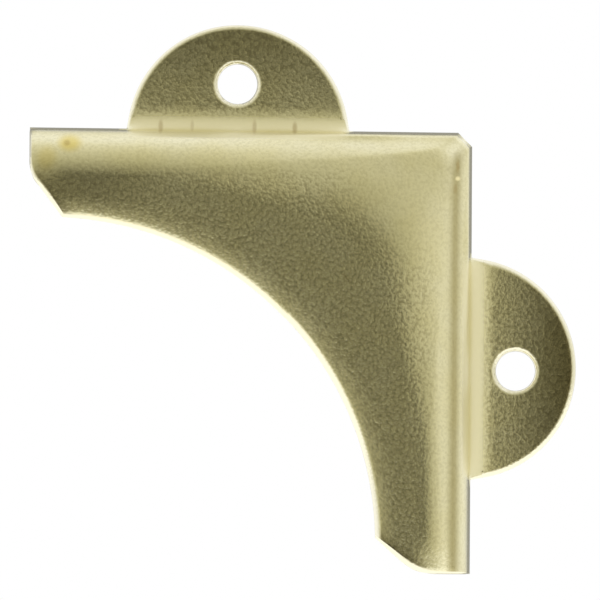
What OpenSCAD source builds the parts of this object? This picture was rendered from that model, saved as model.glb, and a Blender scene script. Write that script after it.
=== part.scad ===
// Corner clip for a frameless wall mirror, pressed and trimmed from one sheet.
// X runs to the right along the wall and Z up it. The wall is the plane Y = 0, with the room
// towards -Y. The clip holds a mirror's upper right corner, and the origin lies on the wall,
// midway between the two screw holes.

/* [Sheet] */
// Thickness of the sheet
sheet_t = 1; // [1:0.1:1.4]
// Height of the front plate's outer face above the wall
clip_h = 9.5; // [9.5:0.5:12]
// Outer radius where the front plate bends back into each side wall
bend_r = 5; // [3:0.5:5]
// Hollow radius where the sheet folds outwards again, flat on to the wall
fold_r = 3; // [2:0.25:3.5]

/* [Front plate] */
// Length of each leg, from the outer corner to its free end
leg = 50.2; // [48:0.2:52]
// Radius of the scooped inner edge
scoop_r = 36.4; // [35:0.1:38]
// Distance of the scoop's centre from each side wall's outer face
scoop_at = 46.8; // [46:0.1:48]
// Straight stretch of each free end, from the side wall to its shoulder
end_flat = 4.3; // [3.5:0.1:5]
// Angle at which each free end slants back from its shoulder
end_slant = 35; // [25:1:45]
// Radius that rounds the shoulder
end_r = 3; // [1:0.5:4]
// Lip of folded sheet left standing past the side walls, beside the tabs
lip_w = 0.3; // [0.2:0.1:0.6]
// Width cut off the outer corner, along each side
corner_cut = 1.6; // [1.2:0.1:1.7]

/* [Tabs] */
// Width of each tab, which is also the diameter of its round outline
tab_w = 25; // [24:0.5:26]
// Distance of each tab's tip from the side wall's outer face
tab_reach = 12.5; // [11.5:0.1:12.5]
// Distance of each tab's centre line from the outer corner
tab_at = 26.5; // [24:0.1:28]
// Diameter of each screw hole
hole_d = 4.5; // [3.5:0.1:5]
// Distance of each hole's centre from the side wall's outer face
hole_out = 5.4; // [5:0.1:6.5]

/* [Rolled edges] */
// Roll-over radius that the punch leaves round the holes and the tabs, on the room side
roll_r = 0.5; // [0.2:0.1:0.6]
// Roll-over radius along the scooped edge, on the room side
scoop_roll_r = 0.8; // [0.4:0.1:0.8]

/* [Hidden] */
$fn = 96;
tab_r = tab_w / 2;
tab_in = tab_r - tab_reach;
corner_at = (tab_at - hole_out) / 2;
past = 1;
span = leg + tab_r + 2 * past;

// The clip is drawn lying on its back, with the outer corner at the origin, the legs along -X
// and -Y and the room side up. What one leg has, the other has mirrored across the diagonal.
module both_legs() {
    children();
    mirror([1, -1, 0]) children();
}

// Section across a leg of all that lies below one face of the pressed sheet, down to foot.
// inset is 0 for the face towards the room, and the sheet's thickness for the face behind.
module section_below(inset, foot) {
    shoulder = clip_h - bend_r;
    flange_top = sheet_t - inset;
    fold_top = sheet_t + fold_r;
    translate([-bend_r, shoulder]) circle(r = bend_r - inset);
    translate([-span, foot]) square([span - inset, shoulder - foot]);
    translate([-span, foot]) square([span - bend_r, clip_h - inset - foot]);
    translate([-span, foot]) square([2 * span, flange_top - foot]);
    difference() {
        translate([-bend_r, foot]) square([bend_r + fold_r, fold_top - foot]);
        translate([fold_r, fold_top]) circle(r = fold_r + inset);
    }
}

module section_run(inset, foot) {
    translate([-span, 0, 0])
        rotate([90, 0, 90])
            linear_extrude(2 * span) section_below(inset, foot);
}

// The section run along both legs, with a mitre at the corner
module block_below(inset, foot) {
    intersection() {
        section_run(inset, foot);
        mirror([1, -1, 0]) section_run(inset, foot);
    }
}

module pressed_sheet() {
    difference() {
        block_below(0, 0);
        block_below(sheet_t, -past);
    }
}

// Flange left outside a side wall by the press, except for the lip and the tab
module flange_waste() {
    difference() {
        translate([-leg - past, lip_w]) square([span + leg, span]);
        translate([-tab_at, -tab_in]) circle(r = tab_r);
    }
}

// Slanted corner of a free end, with a round shoulder where the slant starts
module end_waste() {
    round_start = end_flat - end_r * tan(end_slant / 2);
    slant_end = span * [sin(end_slant), -cos(end_slant)];
    round_end = end_r * [1 - cos(end_slant), -sin(end_slant)];
    translate([-leg, -round_start])
        difference() {
            polygon([[0, 0], round_end, round_end + slant_end, [-past, slant_end.y], [-past, 0]]);
            translate([end_r, 0]) circle(r = end_r);
        }
}

module corner_waste() {
    edge = lip_w + past;
    inner = edge - corner_cut - 2 * past;
    polygon([[edge, edge], [inner, edge], [edge, inner]]);
}

module trim_outline() {
    difference() {
        translate([-leg, -leg]) square(leg + tab_r + past);
        both_legs() {
            flange_waste();
            end_waste();
        }
        translate([-scoop_at, -scoop_at]) circle(r = scoop_r);
        corner_waste();
    }
}

// Sharp edge of a hole's mouth, removed to leave it rolled over. The mouth is at height 0.
module mouth_waste(r, roll) {
    rotate_extrude()
        difference() {
            translate([r - roll, -roll]) square(2 * roll);
            translate([r + roll, -roll]) circle(r = roll);
        }
}

// Sharp edge of a tab's rim, removed to leave it rolled over as far as the fold
module rim_waste() {
    intersection() {
        rotate_extrude()
            difference() {
                translate([tab_r - roll_r, -roll_r]) square(2 * roll_r);
                translate([tab_r - roll_r, -roll_r]) circle(r = roll_r);
            }
        translate([-tab_w, tab_in + fold_r, -tab_w]) cube(2 * tab_w);
    }
}

module screw_hole() {
    translate([0, 0, -past]) cylinder(h = sheet_t + 2 * past, d = hole_d);
    translate([0, 0, sheet_t]) mouth_waste(hole_d / 2, roll_r);
}

module mirror_clip() {
    color("darkkhaki")
        rotate([90, 0, 0])
            translate([corner_at, corner_at, 0])
                difference() {
                    intersection() {
                        pressed_sheet();
                        translate([0, 0, -past]) linear_extrude(clip_h + 2 * past) trim_outline();
                    }
                    both_legs() {
                        translate([-tab_at, hole_out, 0]) screw_hole();
                        translate([-tab_at, -tab_in, sheet_t]) rim_waste();
                    }
                    translate([-scoop_at, -scoop_at, clip_h]) mouth_waste(scoop_r, scoop_roll_r);
                }
}

mirror_clip();
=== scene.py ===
from math import acos, asin, atan2, cos, degrees, exp, hypot, pi, radians, sin, sqrt, tan

import bpy
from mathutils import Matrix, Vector


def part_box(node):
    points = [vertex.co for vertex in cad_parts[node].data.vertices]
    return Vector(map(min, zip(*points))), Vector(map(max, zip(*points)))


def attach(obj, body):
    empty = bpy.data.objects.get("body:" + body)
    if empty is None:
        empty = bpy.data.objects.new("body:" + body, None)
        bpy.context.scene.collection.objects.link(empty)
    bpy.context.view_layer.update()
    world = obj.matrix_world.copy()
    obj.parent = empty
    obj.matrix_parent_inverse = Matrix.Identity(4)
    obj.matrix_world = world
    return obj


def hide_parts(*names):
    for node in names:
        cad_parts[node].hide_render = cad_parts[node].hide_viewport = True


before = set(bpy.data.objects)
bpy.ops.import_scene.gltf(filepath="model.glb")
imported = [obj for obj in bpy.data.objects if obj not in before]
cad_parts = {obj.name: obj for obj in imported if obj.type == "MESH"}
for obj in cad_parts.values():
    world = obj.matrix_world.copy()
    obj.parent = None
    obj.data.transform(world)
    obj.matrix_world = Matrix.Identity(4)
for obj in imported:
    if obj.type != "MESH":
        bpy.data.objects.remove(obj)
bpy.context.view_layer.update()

# Sizes are in millimetres. The upper leg is leg -1 and the side leg is leg 1. U is the distance
# along a leg from the other leg's wall, and V the distance in from the leg's own wall, both taken
# from the walls' outer faces. V is negative on the lips and tabs, outside the wall.
MM = 0.001
SHEET = 1.0  # thickness of the sheet
CLIP_H = 9.5  # height of the front plate above the wall
BEND_R = 5.0
FOLD_R = 3.0
LEG = 50.0
LEG_LONG = {-1: 0.15, 1: 0.0}  # what each leg has over its nominal length
SCOOP_R = 36.4
SCOOP = (47.15, 46.4)  # centre of the scoop: U and V on the upper leg
LIP = 0.3  # width of the lips beside the tabs
TAB_REACH = 12.5
TABS = {-1: (26.35, 12.6, 12.2), 1: (26.6, 12.6, 12.3)}  # leg: centre line, radius, reach
HOLES = {-1: (26.45, 5.5), 1: (26.85, 5.4)}  # leg: place along it, distance out from the wall
HOLE_R = 2.25
FLARE = 0.1  # widening of a tab's root beside the lip
FLARE_FADE = 0.5
FACET = 1.42  # cut off the walls' corner, along each side
SKEW = 0.0065  # how far the upper leg turns outwards, for each millimetre along it
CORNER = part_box("mirror_clip")[1].x / MM - TAB_REACH  # X and Z of the walls' outer faces
# Leg: V where its end's slant starts, the slant's angle, radius of the shoulder
ENDS = {-1: (4.7, 35.5, 3.8), 1: (5.85, 40.0, 6.5)}

# The corner's radius in plan grows from the walls to the flat of the plate.
WALL_ROUND = 2.4
PLATE_ROUND = 31.0
ROUND_DEPTH = (1.5, 5.0)  # depths inside the walls between which it grows
FACET_DEPTH = 1.5  # depth at which the facet has run out
FACET_FAN = 4.0  # how far from the facet, and from the round corner, the columns are spread
ROUND_FAN = 24.0

LIP_ANGLE = degrees(acos(1 - LIP / FOLD_R))  # turn of the fold at the lip
SEAM_OUT = 1.9  # where the fold's columns of faces end and the rings round a hole begin
SEAM_ANGLE = degrees(acos(1 - SEAM_OUT / FOLD_R))

# The plate falls away a little towards its edges. Each fall has a slope, the distance over which
# it acts, and most have the length over which it sets in.
CROWN = tan(radians(3.5))  # all the way from the bends to the scoop
SHOULDER = (tan(radians(10)), 3.4)  # beside the scoop's edge
APRON = (tan(radians(23)), 7.7, 3.2)  # along both bends near the corner
APRON_PEAK = 4.2  # its slope grows up to this distance from the walls
APRON_END = (10.0, 18.5)  # where along the legs it starts to fade, and over what length
PILLOW = (tan(radians(3.5)), 17.0, 5.0)  # all round the corner
DROOP = (tan(radians(7)), 5.0, 2.5)  # beside the bend at the free ends
DROOP_V = (6.5, 4.0)  # V at which a droop starts, and from which it is whole
FALL_DEPTH = 2.0  # depth inside the walls from which the whole fall is there
SUNK = 0.9  # how far the lips sink with the plate at the corner
SUNK_TO = (13.6, 4.0)  # how far along the wall they begin to sink, and are right down
TILT = (tan(radians(8)), 9.0)  # how a tab still lifts off the wall towards its fold


def smooth(x):
    x = min(max(x, 0.0), 1.0)
    return x * x * (3 - 2 * x)


def ramp(x, zero, one):
    """Eased step of x that is 0 at one end and 1 at the other, whichever is the larger."""
    return smooth((x - zero) / (one - zero))


def mix(a, b, share):
    return a + (b - a) * share


def mix_points(p, q, share):
    return mix(p[0], q[0], share), mix(p[1], q[1], share)


# --- the camera ---

AIM = (-8.69, -8.33)  # X and Z of the middle of the view
CAMERA_FAR = 2000.0
VIEW_W = 68.2  # width of the view at the front plate
ROLL = -0.35

bpy.ops.object.select_all(action="DESELECT")
bpy.ops.object.camera_add(
    location=(AIM[0] * MM, -(CAMERA_FAR + CLIP_H) * MM, AIM[1] * MM),
    rotation=(pi / 2, radians(ROLL), 0),
)
camera = bpy.context.object
camera.data.lens = camera.data.sensor_width * CAMERA_FAR / VIEW_W
bpy.context.scene.camera = camera
bpy.context.scene.view_settings.view_transform = "Standard"


# --- the sheet's form ---


def corner_round(depth):
    """Radius in plan of the corner, along the line this deep inside the walls."""
    return mix(WALL_ROUND, PLATE_ROUND, ramp(depth, *ROUND_DEPTH))


def spread(station, depth, shift):
    """U of a column that stands at this station on the wall, where the corner has moved in."""
    fade = exp(-(station - FACET / 2) / ROUND_FAN) * (LEG - station) / (LEG - FACET / 2)
    return station + (shift - FACET / 2) * fade


def round_point(station, depth):
    radius = corner_round(depth)
    centre = depth + radius
    u = spread(station, depth, centre - radius / sqrt(2))
    if u >= centre:
        return u, depth
    return u, centre - sqrt(radius**2 - (centre - u) ** 2)


def facet_point(station, depth):
    middle = FACET / 2 + depth / sqrt(2)
    edge = FACET + (sqrt(2) - 1) * depth
    if station <= FACET:
        return mix_points((middle, middle), (edge, depth), (station - FACET / 2) / (FACET / 2))
    return station + (sqrt(2) - 1) * depth * exp(-(station - FACET) / FACET_FAN), depth


def level_point(station, depth):
    """Plan point of a column on the line this deep inside the walls, outside them if negative."""
    faceted = facet_point(station, depth)
    if depth <= 0:
        return faceted
    return mix_points(faceted, round_point(station, depth), ramp(depth, 0, FACET_DEPTH))


def end_slide(leg, v):
    """How far a free end is cut back at this V."""
    start, slant, radius = ENDS[leg]
    round_start = start - radius * tan(radians(slant) / 2)
    if v <= round_start:
        return 0.0
    if v <= round_start + radius * sin(radians(slant)):
        return radius - sqrt(radius**2 - (v - round_start) ** 2)
    return (v - start) * tan(radians(slant))


def scoop_centre(leg):
    return SCOOP if leg < 0 else SCOOP[::-1]


def from_scoop(leg, u, v):
    """Distance of a place from the scoop's edge, into the plate."""
    centre_u, centre_v = scoop_centre(leg)
    return hypot(centre_u - u, centre_v - v) - SCOOP_R


TIP_TRIES = 30  # each brings the tip nearer to where the slant meets the scoop


def scoop_angles(leg):
    """Angles round the scoop's centre at the plate's middle and at a leg's tip."""
    centre_u, centre_v = scoop_centre(leg)
    middle = acos((centre_v - centre_u) / (sqrt(2) * SCOOP_R)) - pi / 4
    u = LEG
    for _ in range(TIP_TRIES):
        u = LEG - end_slide(leg, centre_v - sqrt(SCOOP_R**2 - (centre_u - u) ** 2))
    return middle, asin((centre_u - u) / SCOOP_R)


SCOOP_ANGLES = {leg: scoop_angles(leg) for leg in TABS}


def scoop_point(leg, share):
    centre_u, centre_v = scoop_centre(leg)
    angle = mix(*SCOOP_ANGLES[leg], share)
    return centre_u - SCOOP_R * sin(angle), centre_v - SCOOP_R * cos(angle)


def steps(first, last, count):
    return [mix(first, last, k / count) for k in range(count + 1)]


def flank(leg, depth):
    """Half width of a tab, this far outside the wall."""
    _, radius, reach = TABS[leg]
    out = -depth
    return sqrt(radius**2 - (out + radius - reach) ** 2) + FLARE * exp(-(out - LIP) / FLARE_FADE)


def fold_angle(out):
    return degrees(acos(max(1 - out / FOLD_R, 0)))


# Columns stand along each leg's wall, from the corner's middle to the free end: across half the
# facet, from there to the tab, across the tab and on to the end.
COLUMNS = (4, 24, 32, 12)
FIRST_TAB = sum(COLUMNS[:2])
LAST_TAB = sum(COLUMNS[:3])
LAST = sum(COLUMNS)


def stations(leg):
    """Where the columns stand along a leg."""
    root = [TABS[leg][0] + way * flank(leg, -LIP) for way in (-1, 1)]
    ends = [FACET / 2, FACET, *root, LEG]
    places = ends[:1]
    for k, count in enumerate(COLUMNS):
        places += steps(ends[k], ends[k + 1], count)[1:]
    return places


STATIONS = {leg: stations(leg) for leg in TABS}

# Rows run from the scoop up the plate, round the bend, down the wall and out along the fold. Each
# has its kind and a value: the distance in from the scoop, the share of the way from the bend to
# the scoop's shoulder, or the angle turned through.
ROWS = (
    [("rim", inside) for inside in (0.0, 1.05, 1.5, 2.1, 2.75)]
    + [("plate", share) for share in steps(1, 0, 14)[:-1]]
    + [("bend", angle) for angle in steps(0, 90, 20)]
    + [("fold", angle) for angle in steps(0, LIP_ANGLE, 4)]
    + [("fold", angle) for angle in steps(LIP_ANGLE, SEAM_ANGLE, 7)[1:]]
)
LIP_ROW = ROWS.index(("fold", LIP_ANGLE))
FOLD_ROW = ROWS.index(("fold", 0.0))


def section(kind, value, behind=False):
    """Depth and Y of the section at a bend or fold angle. behind is the hollow side."""
    angle = radians(value)
    if kind == "bend":
        radius = BEND_R - SHEET if behind else BEND_R
        return BEND_R - radius * sin(angle), -CLIP_H + BEND_R - radius * cos(angle)
    radius = FOLD_R + SHEET if behind else FOLD_R
    return -FOLD_R + radius * cos(angle), -SHEET - FOLD_R + radius * sin(angle)


def behind_fold(angle):
    """Fold angle, on the hollow side, of the point straight behind one on the front."""
    return degrees(acos(FOLD_R * cos(radians(angle)) / (FOLD_R + SHEET)))


def along(station):
    """Share of a leg's length, from the corner's middle to the free end."""
    return (station - FACET / 2) / (LEG - FACET / 2)


def plate_point(leg, station, kind, value):
    """Plan point and Y on the front plate, for a rim or plate row."""
    inner = level_point(station, BEND_R)
    outer = scoop_point(leg, along(station))
    length = hypot(outer[0] - inner[0], outer[1] - inner[1])
    slope, reach = SHOULDER
    share = 1 - value / length if kind == "rim" else value * (1 - reach / length)
    u, v = mix_points(inner, outer, share)
    shoulder = slope / (2 * reach) * max(reach - length * (1 - share), 0) ** 2
    return u, v, -CLIP_H + CROWN / 2 * length * share**2 + shoulder + fall(u, v)


def eased(x, length):
    """Ramp that rises from 0 and takes this length to reach its full slope."""
    x = max(x, 0.0)
    return x**2 / (2 * length) if x < length else x - length / 2


LEAST = 0.01  # keeps places on a wall from dividing by nothing


def fall(u, v):
    """How far the plate has fallen away at this place, near the corner and the free ends."""
    u, v = max(u, LEAST), max(v, LEAST)
    slope, reach, ease = APRON
    start, length = APRON_END
    fade = exp(-((max(u, v, start) - start) / length) ** 2)
    from_walls = u * v / hypot(u, v)
    apron = eased(reach - max(from_walls, APRON_PEAK), ease)
    apron += max(APRON_PEAK**2 - from_walls**2, 0) / (2 * APRON_PEAK)
    apron *= slope * fade
    slope, reach, ease = PILLOW
    pillow = slope * eased(reach - hypot(u, v), ease)
    slope, reach, ease = DROOP
    droop = slope * eased(u - LEG + reach, ease) * ramp(v, *DROOP_V)
    return apron + pillow + droop


def sunk(station):
    """How far the wall and its lip stand nearer the back at the corner."""
    return SUNK * ramp(station, *SUNK_TO)


def lean(out):
    """Extra Y of a tab this far outside the wall, where it lifts off the wall to its fold."""

    def gap(out):
        return FOLD_R * (1 - sin(radians(fold_angle(out))))

    def lift(out):
        slope, reach = TILT
        return slope / (2 * reach) * max(reach - out, 0) ** 2

    return gap(out) * lift(LIP) / gap(LIP) - lift(out)


END_PULL = 8  # the higher, the nearer to a free end its slant pulls the columns along
FALL_SHARPNESS = 4  # the higher, the sooner inside the walls the plate's fall is taken up


def front_point(leg, station, row):
    """Place of a point of the front face in U, V and Y."""
    kind, value = ROWS[row]
    if kind in ("rim", "plate"):
        u, v, y = plate_point(leg, station, kind, value)
        end_u, end_v, _ = plate_point(leg, LEG, kind, value)
        u += (LEG - end_slide(leg, end_v) - end_u) * along(station) ** END_PULL
        return u, v, y
    depth, y = section(kind, value)
    u, v = level_point(station, depth)
    y += sunk(station)
    if kind == "bend":
        taken = 1 - (1 - min(depth / FALL_DEPTH, 1)) ** FALL_SHARPNESS
        y += (fall(u, v) - sunk(station)) * taken
        u -= end_slide(leg, depth) * along(station) ** END_PULL
    elif row > LIP_ROW:
        u = tab_column(leg, station, depth)
        y += lean(-depth)
    return u, v, y


def tab_column(leg, station, depth):
    """U of a column that crosses the fold in front of a tab."""
    at = TABS[leg][0]
    return at + (station - at) * flank(leg, depth) / flank(leg, -LIP)


def station_of(leg, column):
    """Station along the leg, for any place between two columns."""
    place = min(abs(column), LAST)
    low = min(int(place), LAST - 1)
    return mix(STATIONS[leg][low], STATIONS[leg][low + 1], place - low)


def to_world(leg, u, v, y):
    u += LEG_LONG[leg] * along(u)
    if leg > 0:
        u, v = v, u
    return Vector((CORNER - u, y, CORNER - v + SKEW * max(u - v, 0)))


def place(column, row, behind):
    """World place, in millimetres, of one point of the pressed sheet."""
    leg = 1 if column > 0 else -1
    kind, value = ROWS[row]
    station = station_of(leg, column)
    last_of_bend = (kind, value) == ("bend", 90)
    if behind and (kind == "fold" or last_of_bend):
        if kind == "fold" and value <= LIP_ANGLE:
            value *= behind_fold(LIP_ANGLE) / LIP_ANGLE
        elif kind == "fold":
            value = behind_fold(value)
        depth, y = section(kind, value, True)
        y += sunk(station)
        u, v = level_point(station, depth)
        if kind == "fold" and row > LIP_ROW:
            front_depth = section(*ROWS[row])[0]
            u = tab_column(leg, station, front_depth)
            y += lean(-front_depth)
        return to_world(leg, u, v, y)
    point = to_world(leg, *front_point(leg, station, row))
    if not behind:
        return point
    beside = [min(max(column + way, -LAST), LAST) for way in (-0.5, 0.5)]
    pair = [place(c, row, False) for c in beside]
    rows = [min(max(row + way, 0), FOLD_ROW) for way in (-1, 1)]
    across = [to_world(leg, *front_point(leg, station, r)) for r in rows]
    normal = (pair[1] - pair[0]).cross(across[1] - across[0]).normalized()
    if normal.y > 0:
        normal.negate()
    return point - normal * SHEET


def edit(mode="EDIT"):
    bpy.ops.object.mode_set(mode=mode)


def select_faces(mesh, wanted):
    """Selects the faces whose centres pass a test, and nothing else."""
    for items in (mesh.vertices, mesh.edges, mesh.polygons):
        items.foreach_set("select", [False] * len(items))
    for face in mesh.polygons:
        face.select = wanted(face)


FRONT, BACK, CUT = 0, 1, 2  # sides of the sheet, as noted on its faces


def mark_sides(mesh):
    """Notes on each face of a flat blank whether it is the front, the back or a cut edge."""
    sides = mesh.attributes.new("side", "INT", "FACE")
    for face in mesh.polygons:
        low = min(mesh.vertices[k].co.z for k in face.vertices)
        high = max(mesh.vertices[k].co.z for k in face.vertices)
        sides.data[face.index].value = CUT if high - low > 0.5 else FRONT if low > -0.5 else BACK


def press_sheet():
    """Lays out the flat blank with its waste trimmed off, and presses every point to its place."""
    bpy.ops.object.select_all(action="DESELECT")
    bpy.ops.mesh.primitive_grid_add(x_subdivisions=2 * LAST, y_subdivisions=len(ROWS) - 1, size=1)
    blank = bpy.context.object
    mesh = blank.data

    def column_of(co):
        return (co.x + 0.5) * 2 * LAST - LAST

    def row_of(co):
        return (co.y + 0.5) * (len(ROWS) - 1)

    def waste(face):
        at_tab = FIRST_TAB < abs(column_of(face.center)) < LAST_TAB
        return row_of(face.center) > LIP_ROW and not at_tab

    edit()
    bpy.ops.mesh.select_mode(type="FACE")
    edit("OBJECT")
    select_faces(mesh, waste)
    edit()
    bpy.ops.mesh.delete(type="FACE")
    bpy.ops.mesh.select_all(action="SELECT")
    bpy.ops.mesh.extrude_region_move(TRANSFORM_OT_translate={"value": (0, 0, -1)})
    edit("OBJECT")

    def root_side(face):
        rows = [row_of(mesh.vertices[k].co) for k in face.vertices]
        return min(rows) > len(ROWS) - 1.5

    select_faces(mesh, root_side)
    edit()
    bpy.ops.mesh.delete(type="FACE")
    edit("OBJECT")
    mark_sides(mesh)
    for vertex in mesh.vertices:
        column, row = round(column_of(vertex.co)), round(row_of(vertex.co))
        vertex.co = place(column, row, vertex.co.z < -0.5) * MM
    return blank


ROOT_SIDES = LAST_TAB - FIRST_TAB  # faces along a tab's root, and round its rim
RIM_SIDES = 64
TAB_RINGS = 14
HOLE_INSET = 0.62  # room for the rolled edges of the hole and the rim
RIM_INSET = 0.8


def tab_outline(leg, step):
    """U and distance out from the wall of a point round a tab: its root first, then its rim."""
    at, radius, reach = TABS[leg]
    half = flank(leg, -SEAM_OUT)
    if step <= ROOT_SIDES:
        return at + mix(-half, half, step / ROOT_SIDES), SEAM_OUT
    centre = reach - radius
    start = atan2(SEAM_OUT - centre, half)
    angle = mix(start, pi - start, (step - ROOT_SIDES) / RIM_SIDES)
    return at + radius * cos(angle), centre + radius * sin(angle)


def tab_point(leg, step, ring):
    """U and distance out on a tab: ring 0 is the screw hole and the last ring is the outline."""
    hole_u, hole_out = HOLES[leg]
    u, out = tab_outline(leg, step)
    away = hypot(u - hole_u, out - hole_out)
    room = away - HOLE_R
    inset = min(RIM_INSET, 0.7 * (room - HOLE_INSET))
    radii = [0.0] + steps(HOLE_INSET, room - inset, TAB_RINGS - 2) + [room]
    share = (HOLE_R + radii[ring]) / away
    return mix(hole_u, u, share), mix(hole_out, out, share)


def press_tab(leg):
    """A ring of sheet round the screw hole, pressed on to the wall."""
    sides = ROOT_SIDES + RIM_SIDES
    bpy.ops.object.select_all(action="DESELECT")
    bpy.ops.mesh.primitive_circle_add(vertices=sides, radius=1, fill_type="NOTHING")
    tab = bpy.context.object
    edit()
    bpy.ops.mesh.select_all(action="SELECT")
    for ring in range(1, TAB_RINGS + 1):
        bpy.ops.mesh.extrude_edges_move()
        bpy.ops.transform.resize(value=((ring + 1) / ring,) * 3)
    bpy.ops.mesh.select_all(action="SELECT")
    bpy.ops.mesh.extrude_region_move(TRANSFORM_OT_translate={"value": (0, 0, -1)})
    edit("OBJECT")
    mesh = tab.data

    def step_of(co):
        return round(atan2(-co.x, co.y) / (2 * pi) * sides) % sides

    def ring_of(co):
        return hypot(co.x, co.y) - 1

    def root_side(face):
        corners = [mesh.vertices[k].co for k in face.vertices]
        outer = min(map(ring_of, corners)) > TAB_RINGS - 0.5
        return outer and max(map(step_of, corners)) <= ROOT_SIDES

    select_faces(mesh, root_side)
    edit()
    bpy.ops.mesh.delete(type="FACE")
    edit("OBJECT")
    mark_sides(mesh)
    for vertex in mesh.vertices:
        u, out = tab_point(leg, step_of(vertex.co), round(ring_of(vertex.co)))
        behind = vertex.co.z < -0.5
        angle = behind_fold(fold_angle(out)) if behind else fold_angle(out)
        vertex.co = to_world(leg, u, -out, section("fold", angle, behind)[1] + lean(out)) * MM
    return tab


# Widths of the rolled-over edges
SCOOP_ROLL = 0.92
TIP_ROLL = 0.6  # along the scoop at the upper leg's tip
END_ROLL = {-1: (0.32, 0.6), 1: (0.38, 0.72)}  # leg: beside the wall, and along the slant
TAB_ROLL = 0.58
HOLE_ROLL = 0.55
LIP_ROLL = 0.12
BACK_ROLL = 0.08
TAB_ROLL_RUN = 1.5  # distance past the lip over which a tab's rolled edge widens
END_ROLL_V = (3.5, 5.5)  # V between which an end's rolled edge widens

NEAR = 0.1  # how close to a trimmed edge a point counts as lying on it


def plan_place(co):
    """Leg, U and V of a point of the finished sheet."""
    u, v = CORNER - co.x / MM, CORNER - co.z / MM
    v += SKEW * max(u - v, 0)
    return (-1, u, v) if u > v else (1, v, u)


def on_hole(leg, u, v):
    hole_u, hole_out = HOLES[leg]
    return hypot(u - hole_u, v + hole_out) < HOLE_R + NEAR


def roll_width(front, co):
    """How far the edge at this place is rolled over."""
    if not front:
        return BACK_ROLL
    leg, u, v = plan_place(co)
    if on_hole(leg, u, v):
        return HOLE_ROLL
    if v < -LIP - NEAR / 2:
        return mix(LIP_ROLL, TAB_ROLL, ramp(-v, LIP, LIP + TAB_ROLL_RUN))
    if v < 2 * NEAR:
        return LIP_ROLL
    if abs(from_scoop(leg, u, v)) < NEAR:
        return SCOOP_ROLL if leg > 0 else mix(SCOOP_ROLL, TIP_ROLL, along(u))
    return mix(*END_ROLL[leg], ramp(v, *END_ROLL_V))


# Where the finish, the painted shade and the painted highlight change. Each pair of distances is
# for ramp: no change at the first, and the whole change from the second on.
# Painted shade darkens the tabs' tips, the plate beside the slanted ends and the upper leg's flat.
DARK_TIP = {-1: 0.48, 1: 0.96}  # leg: how much darker its tab's tip is
DARK_TIP_OUT = (3.0, 14.0)  # distance out from the wall
DARK_END = 0.55  # how much darker the plate is beside the slanted ends
DARK_END_IN = (2.2, 0.6)  # distance in from the end
DARK_LEG = 0.34  # how much darker the upper leg's flat is
DARK_LEG_U = (34.0, 43.0)
DARK_LEG_IN = (1.0, 3.0)  # distance in from the scoop
DARK_V = (4.0, 5.5)  # the bends aren't darkened
# The grey on the lips, on the ends beside the walls and on the holes' edges is painted shade.
GREY_V = (0.5, -0.1)  # the metal turns grey from inside the wall to the lips
GREY_CUT = 0.95  # how grey the ends beside the walls and the holes' edges are
GREY_END = (0.12, 4.5)  # distance in from an end, and V up to which it is grey
STRIPE_V = (1.65, 0.55, 4.0)  # middle, its shift at the corner, and U over which that fades
STRIPE_HALF = 1.0
STRIPE_U = (1.0, 3.0)
# Painted highlight in the folds' hollows
HOLLOW_V = (0.9, 0.3)  # a fold's hollow starts on its wall
HOLLOW_OUT = (2.0, 1.1)  # and ends this far outside it
HOLLOW_IN = (0.0, 1.2)  # distance in from the tab's sides
GRAIN_V = (3.0, 6.5)  # the grain is soft on the bends and folds, and comes back past them
GRAIN_OUT = (1.5, 2.5)
GRAIN_CORNER = (12.0, 21.0)  # distance from the corner, round which it is soft
GRAIN_SCOOP = (0.8, 3.3)  # distance in from the scoop, along which it is softened
GRAIN_SCOOP_LEAST = 0.3  # share of the grain left there


def dark(leg, u, v):
    """Painted shade: how much darker the plate is, most of all at the tabs' tips and beside the
    ends.
    """
    if v < -LIP - 2 * NEAR:
        return DARK_TIP[leg] * ramp(-v, *DARK_TIP_OUT)
    from_end = LEG - end_slide(leg, v) - u
    flat = ramp(v, *DARK_V)
    beside_end = DARK_END * ramp(from_end, *DARK_END_IN) * flat
    if leg > 0:
        return beside_end
    legs_flat = DARK_LEG * ramp(u, *DARK_LEG_U) * flat * ramp(from_scoop(leg, u, v), *DARK_LEG_IN)
    return max(beside_end, legs_flat)


def in_tab(leg, u):
    """Distance in from the nearer side of a tab's root, below 0 beside the tab."""
    return flank(leg, -LIP) - abs(u - TABS[leg][0])


def greyed(leg, u, v):
    """How grey the metal is painted, as painted shade: whole on the lips beside the tabs, fading
    up the walls.
    """
    margin, last_v = GREY_END
    if on_hole(leg, u, v) or (u > LEG - margin and v < last_v):
        return GREY_CUT
    if in_tab(leg, u) > NEAR or v < -LIP - NEAR / 2:
        return 0.0
    none, whole = GREY_V
    return min(max((none - v) / (none - whole), 0.0), 1.0)


def stripe(leg, u, v):
    """How much of the darker stripe down the side bend shows here."""
    if leg < 0 or v < 0:
        return 0.0
    middle, shift, run = STRIPE_V
    off_middle = abs(v - middle + shift * exp(-u / run))
    return ramp(off_middle, STRIPE_HALF, 0) * ramp(u, *STRIPE_U)


def hollow(leg, u, v):
    """1 in the hollow of the fold in front of a tab, where the metal is duller and painted paler
    as a painted highlight.
    """
    across = ramp(v, *HOLLOW_V) * ramp(-v, *HOLLOW_OUT)
    return across * ramp(in_tab(leg, u), *HOLLOW_IN)


def soft_grain(leg, u, v):
    """How soft the grain is: 1 round the bends and folds, and 0 on the flats."""
    past_bend = ramp(v, *GRAIN_V) if v > -0.5 else ramp(-v, *GRAIN_OUT)
    past_corner = ramp(hypot(u, v), *GRAIN_CORNER)
    past_scoop = mix(GRAIN_SCOOP_LEAST, 1, ramp(from_scoop(leg, u, v), *GRAIN_SCOOP))
    return 1 - min(past_bend, past_corner * past_scoop)


# Noted on every point of the mesh, for the material
CHANGES = {
    "greyed": greyed, "soft_grain": soft_grain, "hollow": hollow, "stripe": stripe, "dark": dark,
}


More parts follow.
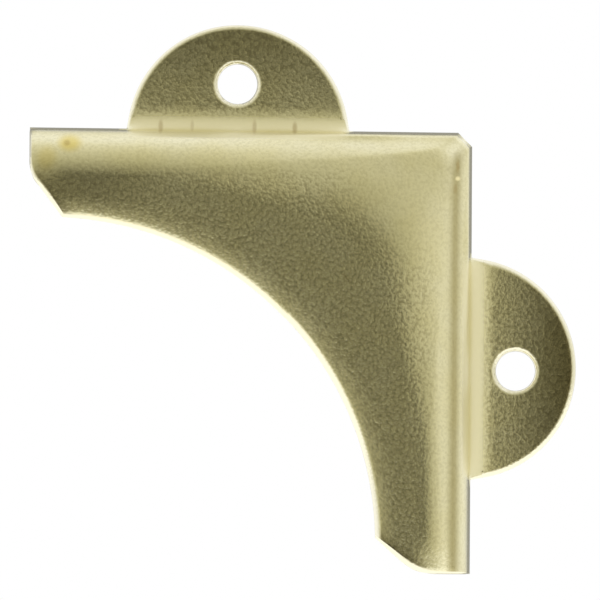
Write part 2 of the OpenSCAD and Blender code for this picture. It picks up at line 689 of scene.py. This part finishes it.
def note_finish_and_painted_light(mesh):
    """Notes on every point, for the material, how its finish and its painted light and shade
    change there.
    """
    met = {}
    for face in mesh.polygons:
        for k in face.vertices:
            met.setdefault(k, []).append(face.material_index)
        face.material_index = 0
    for name in ("rolled", *CHANGES):
        mesh.attributes.new(name, "FLOAT", "POINT")
    notes = {name: mesh.attributes[name].data for name in ("rolled", *CHANGES)}
    for vertex in mesh.vertices:
        notes["rolled"][vertex.index].value = min(met[vertex.index])
        place = plan_place(vertex.co)
        for name, change in CHANGES.items():
            notes[name][vertex.index].value = change(*place)


def roll_edges(sheet):
    """Rolls over every trimmed edge, each to the width for its place."""
    mesh = sheet.data
    sides = [item.value for item in mesh.attributes["side"].data]
    faces_of = {}
    for face in mesh.polygons:
        for key in face.edge_keys:
            faces_of.setdefault(key, set()).add(sides[face.index])
    weights = {}
    for edge in mesh.edges:
        met = faces_of.get(edge.key, set())
        if CUT in met and len(met) == 2:
            middle = (mesh.vertices[edge.vertices[0]].co + mesh.vertices[edge.vertices[1]].co) / 2
            weights[edge.index] = roll_width(FRONT in met, middle) / SCOOP_ROLL
    held = mesh.attributes.new("bevel_weight_edge", "FLOAT", "EDGE")
    for index, weight in weights.items():
        held.data[index].value = weight
    # The second of two empty slots marks the rolled faces, until their points are noted.
    for _ in range(2):
        mesh.materials.append(None)
    bevel = sheet.modifiers.new("rolled_edges", "BEVEL")
    bevel.limit_method = "WEIGHT"
    bevel.width = SCOOP_ROLL * MM
    bevel.segments = 5
    bevel.use_clamp_overlap = False
    bevel.material = 1
    bpy.ops.object.modifier_apply(modifier=bevel.name)
    note_finish_and_painted_light(mesh)
    mesh.materials.clear()
    level = sheet.modifiers.new("even_shading", "WEIGHTED_NORMAL")
    level.keep_sharp = True


WELD = 0.0005  # the tabs' roots are joined to the sheet where they meet it
SMOOTH_UNDER = 30  # degrees between faces that are shaded as one


def make_clip():
    sheet = press_sheet()
    tabs = [press_tab(leg) for leg in TABS]
    bpy.ops.object.select_all(action="DESELECT")
    for tab in tabs:
        tab.select_set(True)
    sheet.select_set(True)
    bpy.context.view_layer.objects.active = sheet
    bpy.ops.object.join()
    edit()
    bpy.ops.mesh.select_all(action="SELECT")
    bpy.ops.mesh.remove_doubles(threshold=WELD * MM)
    bpy.ops.mesh.normals_make_consistent(inside=False)
    edit("OBJECT")
    sheet.name = sheet.data.name = "pressed_clip"
    roll_edges(sheet)
    bpy.ops.object.shade_smooth_by_angle(angle=radians(SMOOTH_UNDER))
    return sheet


# --- materials ---


def linear(code):
    """Linear colour of an sRGB hex value."""
    parts = [int(code[k : k + 2], 16) / 255 for k in (1, 3, 5)]
    parts = [c / 12.92 if c <= 0.04045 else ((c + 0.055) / 1.055) ** 2.4 for c in parts]
    return (*parts, 1.0)


def add(tree, kind, inputs=None, **settings):
    """Adds a node: inputs maps each socket to a value, or to the output that feeds it."""
    node = tree.nodes.new(kind)
    stops = settings.pop("stops", None)
    for name, value in settings.items():
        setattr(node, name, value)
    for socket, value in (inputs or {}).items():
        if isinstance(value, bpy.types.NodeSocket):
            tree.links.new(value, node.inputs[socket])
        else:
            node.inputs[socket].default_value = value
    if stops:
        marks = node.color_ramp.elements
        while len(marks) < len(stops):
            marks.new(0.5)
        for mark, (at, colour) in zip(marks, stops):
            mark.position = at
            mark.color = colour
    return node


YELLOW = "#E6D68C"
BROWN = "#A89058"
PALE = "#FFF4C4"
# Marks on the front: place in X and Z, half sizes, turn in degrees, shade and strength
MARKS = (
    # Yellower patches at the upper leg's end, with a brown spot
    ((-35.0, 9.4), (1.9, 1.4), 0, YELLOW, 0.95),
    ((-37.6, 7.7), (1.6, 2.0), 20, YELLOW, 0.5),
    ((-35.3, 9.4), (0.55, 0.5), 0, BROWN, 0.45),
    # Brown marks across the upper fold
    ((-24.7, 11.4), (0.4, 1.1), 0, BROWN, 0.4),
    ((-21.1, 11.5), (0.3, 0.9), 0, BROWN, 0.25),
    ((-14.0, 11.4), (0.36, 1.2), 0, BROWN, 0.35),
    ((-9.4, 11.3), (0.4, 1.0), 0, BROWN, 0.45),
    # A thin brown line on the plate
    ((-3.4, -5.8), (0.12, 1.0), -35, BROWN, 0.5),
    # A pale spot on the side bend, between two brown ones
    ((9.2, 7.0), (0.3, 1.0), 0, BROWN, 0.4),
    ((9.2, 5.6), (0.42, 0.36), 0, PALE, 0.9),
    ((8.9, 4.4), (0.35, 0.8), 0, BROWN, 0.3),
)
MARK_CORE = 0.25  # share of a mark's size within which it is at its full strength


def mark_mask(tree, coords, mark):
    """A mark's strength in its middle, fading to 0 at its rim."""
    (x, z), (half_x, half_z), turn, _, strength = mark
    settings = {"Vector": coords, "Location": (x * MM, 0, z * MM)}
    settings["Rotation"] = (0, radians(turn), 0)
    settings["Scale"] = (half_x * MM, 1.0, half_z * MM)
    laid = add(tree, "ShaderNodeMapping", settings, vector_type="TEXTURE").outputs[0]
    away = add(tree, "ShaderNodeVectorMath", {0: laid}, operation="LENGTH").outputs["Value"]
    fade = {"Value": away, "From Min": MARK_CORE, "To Min": strength, "To Max": 0.0}
    return add(tree, "ShaderNodeMapRange", fade, interpolation_type="SMOOTHSTEP").outputs[0]


GRAIN_SIZE = 0.38
GRAIN_HEIGHT = 0.06
CLOUD_SIZE = 5.0


def brass_plate():
    """Bright brass plate on fine-grained sheet metal."""
    # It gives the eye a pale gold metal that mirrors its surroundings in soft bands round the
    # bends, broken up by fine matt grain on the flats. The clip is taken as punched and pressed
    # from rolled sheet, and then plated without being polished.
    material = bpy.data.materials.new("bright_brass_plate")
    material.use_nodes = True
    tree = material.node_tree
    shader = tree.nodes["Principled BSDF"]
    coords = add(tree, "ShaderNodeTexCoord").outputs["Object"]
    noted = {}
    for name in ("side", "rolled", *CHANGES):
        noted[name] = add(tree, "ShaderNodeAttribute", attribute_name=name).outputs["Fac"]
    front = {0: noted["side"], 1: FRONT + 0.5}
    front = add(tree, "ShaderNodeMath", front, operation="LESS_THAN").outputs[0]
    striped = {0: noted["stripe"], 1: front}
    striped = add(tree, "ShaderNodeMath", striped, operation="MULTIPLY").outputs[0]

    # The grain shows as fine pits, softer round the bends and folds. Rolled sheet usually has a
    # grain too fine to show here, so it is drawn as coarse as it needs to show.
    keen = {"Value": noted["soft_grain"], "To Min": 1.0, "To Max": 0.3}
    keen = add(tree, "ShaderNodeMapRange", keen).outputs[0]
    grain = {"Vector": coords, "Scale": 1 / (GRAIN_SIZE * MM), "Detail": 4.0}
    grain = add(tree, "ShaderNodeTexNoise", grain).outputs["Fac"]
    bump = {"Height": grain, "Distance": GRAIN_HEIGHT * MM, "Strength": keen}
    normal = add(tree, "ShaderNodeBump", bump).outputs["Normal"]
    tree.links.new(normal, shader.inputs["Normal"])
    pits = {"Value": grain, "From Min": 0.56, "From Max": 0.36, "To Min": 0.0, "To Max": 0.55}
    pits = add(tree, "ShaderNodeMapRange", pits).outputs[0]
    pits = add(tree, "ShaderNodeMath", {0: pits, 1: keen}, operation="MULTIPLY").outputs[0]

    # The brass varies a little, in broad clouds.
    cloud = {"Vector": coords, "Scale": 1 / (CLOUD_SIZE * MM), "Detail": 2.0}
    cloud = add(tree, "ShaderNodeTexNoise", cloud).outputs["Fac"]
    cloud = {"Value": cloud, "From Min": 0.35, "From Max": 0.65}
    cloud = add(tree, "ShaderNodeMapRange", cloud).outputs[0]
    brass = {0: cloud, 6: linear("#EFE9C3"), 7: linear("#F1ECCB")}
    colour = add(tree, "ShaderNodeMix", brass, data_type="RGBA").outputs[2]

    # What lies over the brass, from the bottom up: how far, its colour, and how it is laid on
    layers = [
        (pits, "#AAA27E", "MIX"),
        # The folds' hollows are painted paler: a painted highlight.
        (noted["hollow"], "#F5EFCE", "MIX"),
        # The tabs' tips, the slanted ends and the upper leg's flat are darkened with painted
        # shade.
        (noted["dark"], "#8F8872", "MULTIPLY"),
        # The stripe and the marks lie on the front only.
        (striped, "#C6C1AB", "MULTIPLY"),
    ]
    for mark in MARKS:
        mask = {0: mark_mask(tree, coords, mark), 1: front}
        mask = add(tree, "ShaderNodeMath", mask, operation="MULTIPLY").outputs[0]
        layers.append((mask, mark[3], "MIX"))
    # The rolled edges are painted pale: a painted highlight.
    layers.append((noted["rolled"], "#F6F2DC", "MIX"))
    # The lips beside the tabs are painted grey, as painted shade.
    grey_lip = {"Value": noted["greyed"], "From Min": 0.85, "From Max": 1.0}
    layers.append((add(tree, "ShaderNodeMapRange", grey_lip).outputs[0], "#BAB8AE", "MIX"))
    for share, shade, way in layers:
        laid = {0: share, 6: colour, 7: linear(shade)}
        colour = add(tree, "ShaderNodeMix", laid, data_type="RGBA", blend_type=way).outputs[2]
    tree.links.new(colour, shader.inputs["Base Color"])

    # Painted shade: the metal on and next to the lips is tinted to stay dark where it is seen
    # along its surface.
    tint = {0: noted["greyed"], 6: linear("#FFFFFF"), 7: linear("#ABAAA3")}
    tint = add(tree, "ShaderNodeMix", tint, data_type="RGBA").outputs[2]
    tree.links.new(tint, shader.inputs["Specular Tint"])
    rough = {"Value": noted["hollow"], "To Min": 0.2, "To Max": 0.5}
    rough = add(tree, "ShaderNodeMapRange", rough).outputs[0]
    tree.links.new(rough, shader.inputs["Roughness"])
    shader.inputs["Metallic"].default_value = 1.0
    return material


# --- light tent, floor ---

# The cloth's colour: its dim middle is warmer than its bright sides.
DIM_GREEN = 0.95
DIM_BLUE = 0.62


def turned(degrees):
    """Where a ramp over the tent stands, for an angle away from the camera's direction."""
    return (1 - cos(radians(degrees))) / 2


def grey(level):
    return (level, level, level, 1.0)


def lit(level):
    """Colour of the tent at this brightness."""
    bright = min(level, 1) ** 3
    return (level, level * mix(DIM_GREEN, 1.0, bright), level * mix(DIM_BLUE, 1.0, bright), 1.0)


# Brightness of the tent's cloth, by the angle away from the camera's direction: above the clip,
# to its right, up beyond its corner, and below and to its left. The steps are set for the
# view from the front, where the flat plate mirrors the dim middle.
TENT_UP = (
    (0, 0.05), (4, 0.09), (9, 0.2), (15, 0.26), (22, 0.31), (28, 0.37), (34, 0.43), (42, 0.52),
    (56, 0.61), (68, 0.71), (78, 0.78), (88, 0.88), (104, 1.0), (118, 0.98), (135, 0.92),
    (155, 1.0),
)
TENT_RIGHT = (
    (0, 0.05), (4, 0.1), (10, 0.3), (20, 0.46), (30, 0.58), (42, 0.74), (54, 0.82),
    (70, 0.78), (85, 0.85), (106, 0.9), (128, 0.95), (155, 1.0),
)
TENT_CORNER = (
    (0, 0.05), (4, 0.11), (9, 0.28), (14, 0.42), (22, 0.52), (40, 0.64), (60, 0.86), (80, 1.03),
    (130, 1.03), (155, 1.0),
)
TENT_LOW = (
    (0, 0.05), (4, 0.09), (8, 0.18), (12, 0.26), (24, 0.42), (40, 0.64), (60, 0.84), (80, 0.97),
    (100, 1.06), (150, 1.06), (165, 1.0),
)
BACKDROP = (140, 160)  # angles between which the tent gives way to the backdrop behind the clip


def make_tent():
    """A tent of cloth round the clip, bright and white behind it, dim and warm by the camera."""
    world = bpy.data.worlds.new("light_tent")
    bpy.context.scene.world = world
    world.use_nodes = True
    tree = world.node_tree
    tree.nodes.clear()
    way = add(tree, "ShaderNodeTexCoord").outputs["Generated"]
    split = add(tree, "ShaderNodeSeparateXYZ", {0: way}).outputs
    behind = {0: split["Y"], 1: 0.5, 2: 0.5}
    behind = add(tree, "ShaderNodeMath", behind, operation="MULTIPLY_ADD").outputs[0]
    ramps = {}
    sides_of_tent = {"up": TENT_UP, "right": TENT_RIGHT, "low": TENT_LOW, "corner": TENT_CORNER}
    for name, marks in sides_of_tent.items():
        stops = [(turned(angle), lit(level)) for angle, level in marks]
        ramps[name] = add(tree, "ShaderNodeValToRGB", {0: behind}, stops=stops).outputs[0]

    # How far each way lies up and to the right, as shares that make 1 beyond the clip's corner
    flat = add(tree, "ShaderNodeCombineXYZ", {"X": split["X"], "Z": split["Z"]}).outputs[0]
    unit = add(tree, "ShaderNodeVectorMath", {0: flat}, operation="NORMALIZE").outputs[0]
    sides = add(tree, "ShaderNodeSeparateXYZ", {0: unit}).outputs
    shares = []
    for axis in ("Z", "X"):
        top = {0: sides[axis], 1: 0.0}
        top = add(tree, "ShaderNodeMath", top, operation="MAXIMUM").outputs[0]
        squared = add(tree, "ShaderNodeMath", {0: top, 1: top}, operation="MULTIPLY")
        shares.append(squared.outputs[0])
    up, right = shares
    both = add(tree, "ShaderNodeMath", {0: up, 1: right}, operation="ADD").outputs[0]
    upward = add(tree, "ShaderNodeMath", {0: up, 1: both}, operation="DIVIDE").outputs[0]
    slant = add(tree, "ShaderNodeMath", {0: up, 1: right}, operation="MULTIPLY").outputs[0]
    corner = add(tree, "ShaderNodeMath", {0: slant, 1: 4.0}, operation="MULTIPLY").outputs[0]
    cloth = ramps["right"]
    for share, other in ((upward, ramps["up"]), (corner, ramps["corner"])):
        laid = {0: share, 6: cloth, 7: other}
        cloth = add(tree, "ShaderNodeMix", laid, data_type="RGBA").outputs[2]
    laid = {0: both, 6: ramps["low"], 7: cloth}
    cloth = add(tree, "ShaderNodeMix", laid, data_type="RGBA").outputs[2]
    tent = add(tree, "ShaderNodeBackground", {0: cloth, 1: 1.0}).outputs[0]

    # The camera sees the white backdrop all round, and the metal mirrors it behind the clip.
    white = add(tree, "ShaderNodeBackground", {0: grey(1.0), 1: 1.0}).outputs[0]
    ray = add(tree, "ShaderNodeLightPath").outputs
    kinds = {0: ray["Is Glossy Ray"], 1: ray["Is Transmission Ray"]}
    mirrored = add(tree, "ShaderNodeMath", kinds, operation="ADD").outputs[0]
    first, last = BACKDROP
    backdrop = {"Value": behind, "From Min": turned(first), "From Max": turned(last)}
    backdrop = add(tree, "ShaderNodeMapRange", backdrop).outputs[0]
    mirrored = {0: mirrored, 1: backdrop}
    mirrored = add(tree, "ShaderNodeMath", mirrored, operation="MULTIPLY").outputs[0]
    seen = {0: ray["Is Camera Ray"], 1: mirrored}
    seen = add(tree, "ShaderNodeMath", seen, operation="MAXIMUM").outputs[0]
    mixed = add(tree, "ShaderNodeMixShader", {0: seen, 1: tent, 2: white}).outputs[0]
    add(tree, "ShaderNodeOutputWorld", {0: mixed})


# The floor stands low and short of the camera, so that the flat plate doesn't mirror it.
FLOOR_Z = -140.0
FLOOR_W = 900.0
FLOOR_Y = (-280.0, 450.0)
FLOOR_GLOW = 0.4  # what the camera and the metal see of the floor beyond its own light


def make_floor():
    bpy.ops.object.select_all(action="DESELECT")
    bpy.ops.mesh.primitive_plane_add(size=1, location=(0, 0, 0))
    floor = bpy.context.object
    floor.name = floor.data.name = "studio_floor"
    for vertex in floor.data.vertices:
        across, deep = vertex.co.x, vertex.co.y + 0.5
        vertex.co = Vector((FLOOR_W * across, mix(*FLOOR_Y, deep), FLOOR_Z)) * MM
    floor.data.materials.append(white_card())


def white_card():
    """Matt white card, with a glow of its own that only the camera and the metal see."""
    material = bpy.data.materials.new("white_card")
    material.use_nodes = True
    tree = material.node_tree
    shader = tree.nodes["Principled BSDF"]
    ray = add(tree, "ShaderNodeLightPath").outputs
    seen = ray["Is Camera Ray"]
    for kind in ("Is Glossy Ray", "Is Transmission Ray"):
        seen = add(tree, "ShaderNodeMath", {0: seen, 1: ray[kind]}, operation="MAXIMUM").outputs[0]
    glow = {0: seen, 1: FLOOR_GLOW}
    glow = add(tree, "ShaderNodeMath", glow, operation="MULTIPLY").outputs[0]
    shader.inputs["Base Color"].default_value = linear("#F2F2F0")
    shader.inputs["Roughness"].default_value = 0.9
    shader.inputs["Emission Color"].default_value = grey(1.0)
    tree.links.new(glow, shader.inputs["Emission Strength"])
    return material


make_tent()
make_floor()
clip = make_clip()
clip.data.materials.append(brass_plate())
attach(clip, "root")
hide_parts("mirror_clip")
